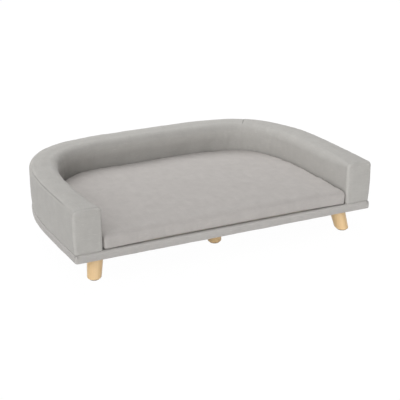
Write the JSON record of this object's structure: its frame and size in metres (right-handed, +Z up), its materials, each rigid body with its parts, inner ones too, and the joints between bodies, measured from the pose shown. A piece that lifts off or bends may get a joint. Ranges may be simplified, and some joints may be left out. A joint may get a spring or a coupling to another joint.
{
  "type": "dog sofa bed",
  "caption": "Low dog sofa: a padded U-shaped wall and a loose lift-out cushion on a fabric-wrapped D-shaped base with short splayed turned wooden legs.",
  "frame": {"origin": "on the floor under the middle of the sofa", "axes": "+X to the sofa's right seen from the front, +Y to its back, +Z up; the open front faces -Y"},
  "size_m": [1.006, 0.659, 0.2335],
  "materials": {
    "wall_fabric": "soft brushed woven fabric, pale warm grey",
    "base_fabric": "the same pale grey woven fabric, stretched over a board",
    "cushion_fabric": "soft woven fabric, pale warm grey with faint mottling",
    "underside_fabric": "plain grey non-slip cloth",
    "leg_wood": "clear satin lacquer over pale turned wood",
    "plywood": "raw plywood",
    "softwood": "raw planed softwood",
    "hardboard": "thin brown hardboard",
    "foam": "open-cell polyurethane foam",
    "wadding": "polyester wadding",
    "dust_cloth": "black spun-bonded cloth",
    "foot_pad": "dark felt-faced pad",
    "zinc_steel": "zinc-plated steel",
    "screw_steel": "yellow-zinc steel",
    "zip_fabric": "woven zip tape",
    "zip_nylon": "nylon coil",
    "zip_metal": "nickel-plated zinc casting"
  },
  "bodies": {
    "frame": {"base_board": "plywood", "base_edge_foam": "foam", "base_padding": "foam", "base_band": "base_fabric", "deck_cloth": "base_fabric", "dust_cover": "dust_cloth", "dust_cover_staples": "zinc_steel", "leg_front_left": "leg_wood", "leg_front_right": "leg_wood", "leg_centre": "leg_wood", "leg_rear_left": "leg_wood", "leg_rear_right": "leg_wood", "leg_bolts": "zinc_steel", "leg_tee_nuts": "zinc_steel", "foot_pads": "foot_pad", "wall_bottom_rail": "plywood", "wall_top_rail": "plywood", "wall_posts": "softwood", "wall_outer_panel": "hardboard", "wall_inner_panel": "hardboard", "wall_foam_left_arm": "foam", "wall_foam_left_corner": "foam", "wall_foam_back": "foam", "wall_foam_right_corner": "foam", "wall_foam_right_arm": "foam", "end_foam_left": "foam", "end_foam_right": "foam", "wall_cover_outer": "wall_fabric", "wall_cover_left": "wall_fabric", "wall_cover_right": "wall_fabric", "end_cap_left": "wall_fabric", "end_cap_right": "wall_fabric", "frame_screws": "screw_steel", "wall_bolts": "zinc_steel", "wall_washers": "zinc_steel", "wall_tee_nuts": "zinc_steel"},
    "cushion": {"cushion_cover": "cushion_fabric", "cushion_bottom_panel": "underside_fabric", "cushion_wadding": "wadding", "cushion_foam": "foam", "zip_welts": "underside_fabric", "zip_tape": "zip_fabric", "zip_coil": "zip_nylon", "zip_stops": "zip_metal"},
    "zip_slider": {"zip_slider": "zip_metal", "zip_pull": "zip_metal"}
  },
  "joints": [
    {"name": "cushion_lift", "type": "slide", "parent": "frame", "child": "cushion", "axis": [0, 0, 1], "range_m": [0, 0.16]},
    {"name": "zip_run", "type": "slide", "parent": "cushion", "child": "zip_slider", "axis": [1, 0, 0], "range_m": [0, 0.5]}
  ]
}
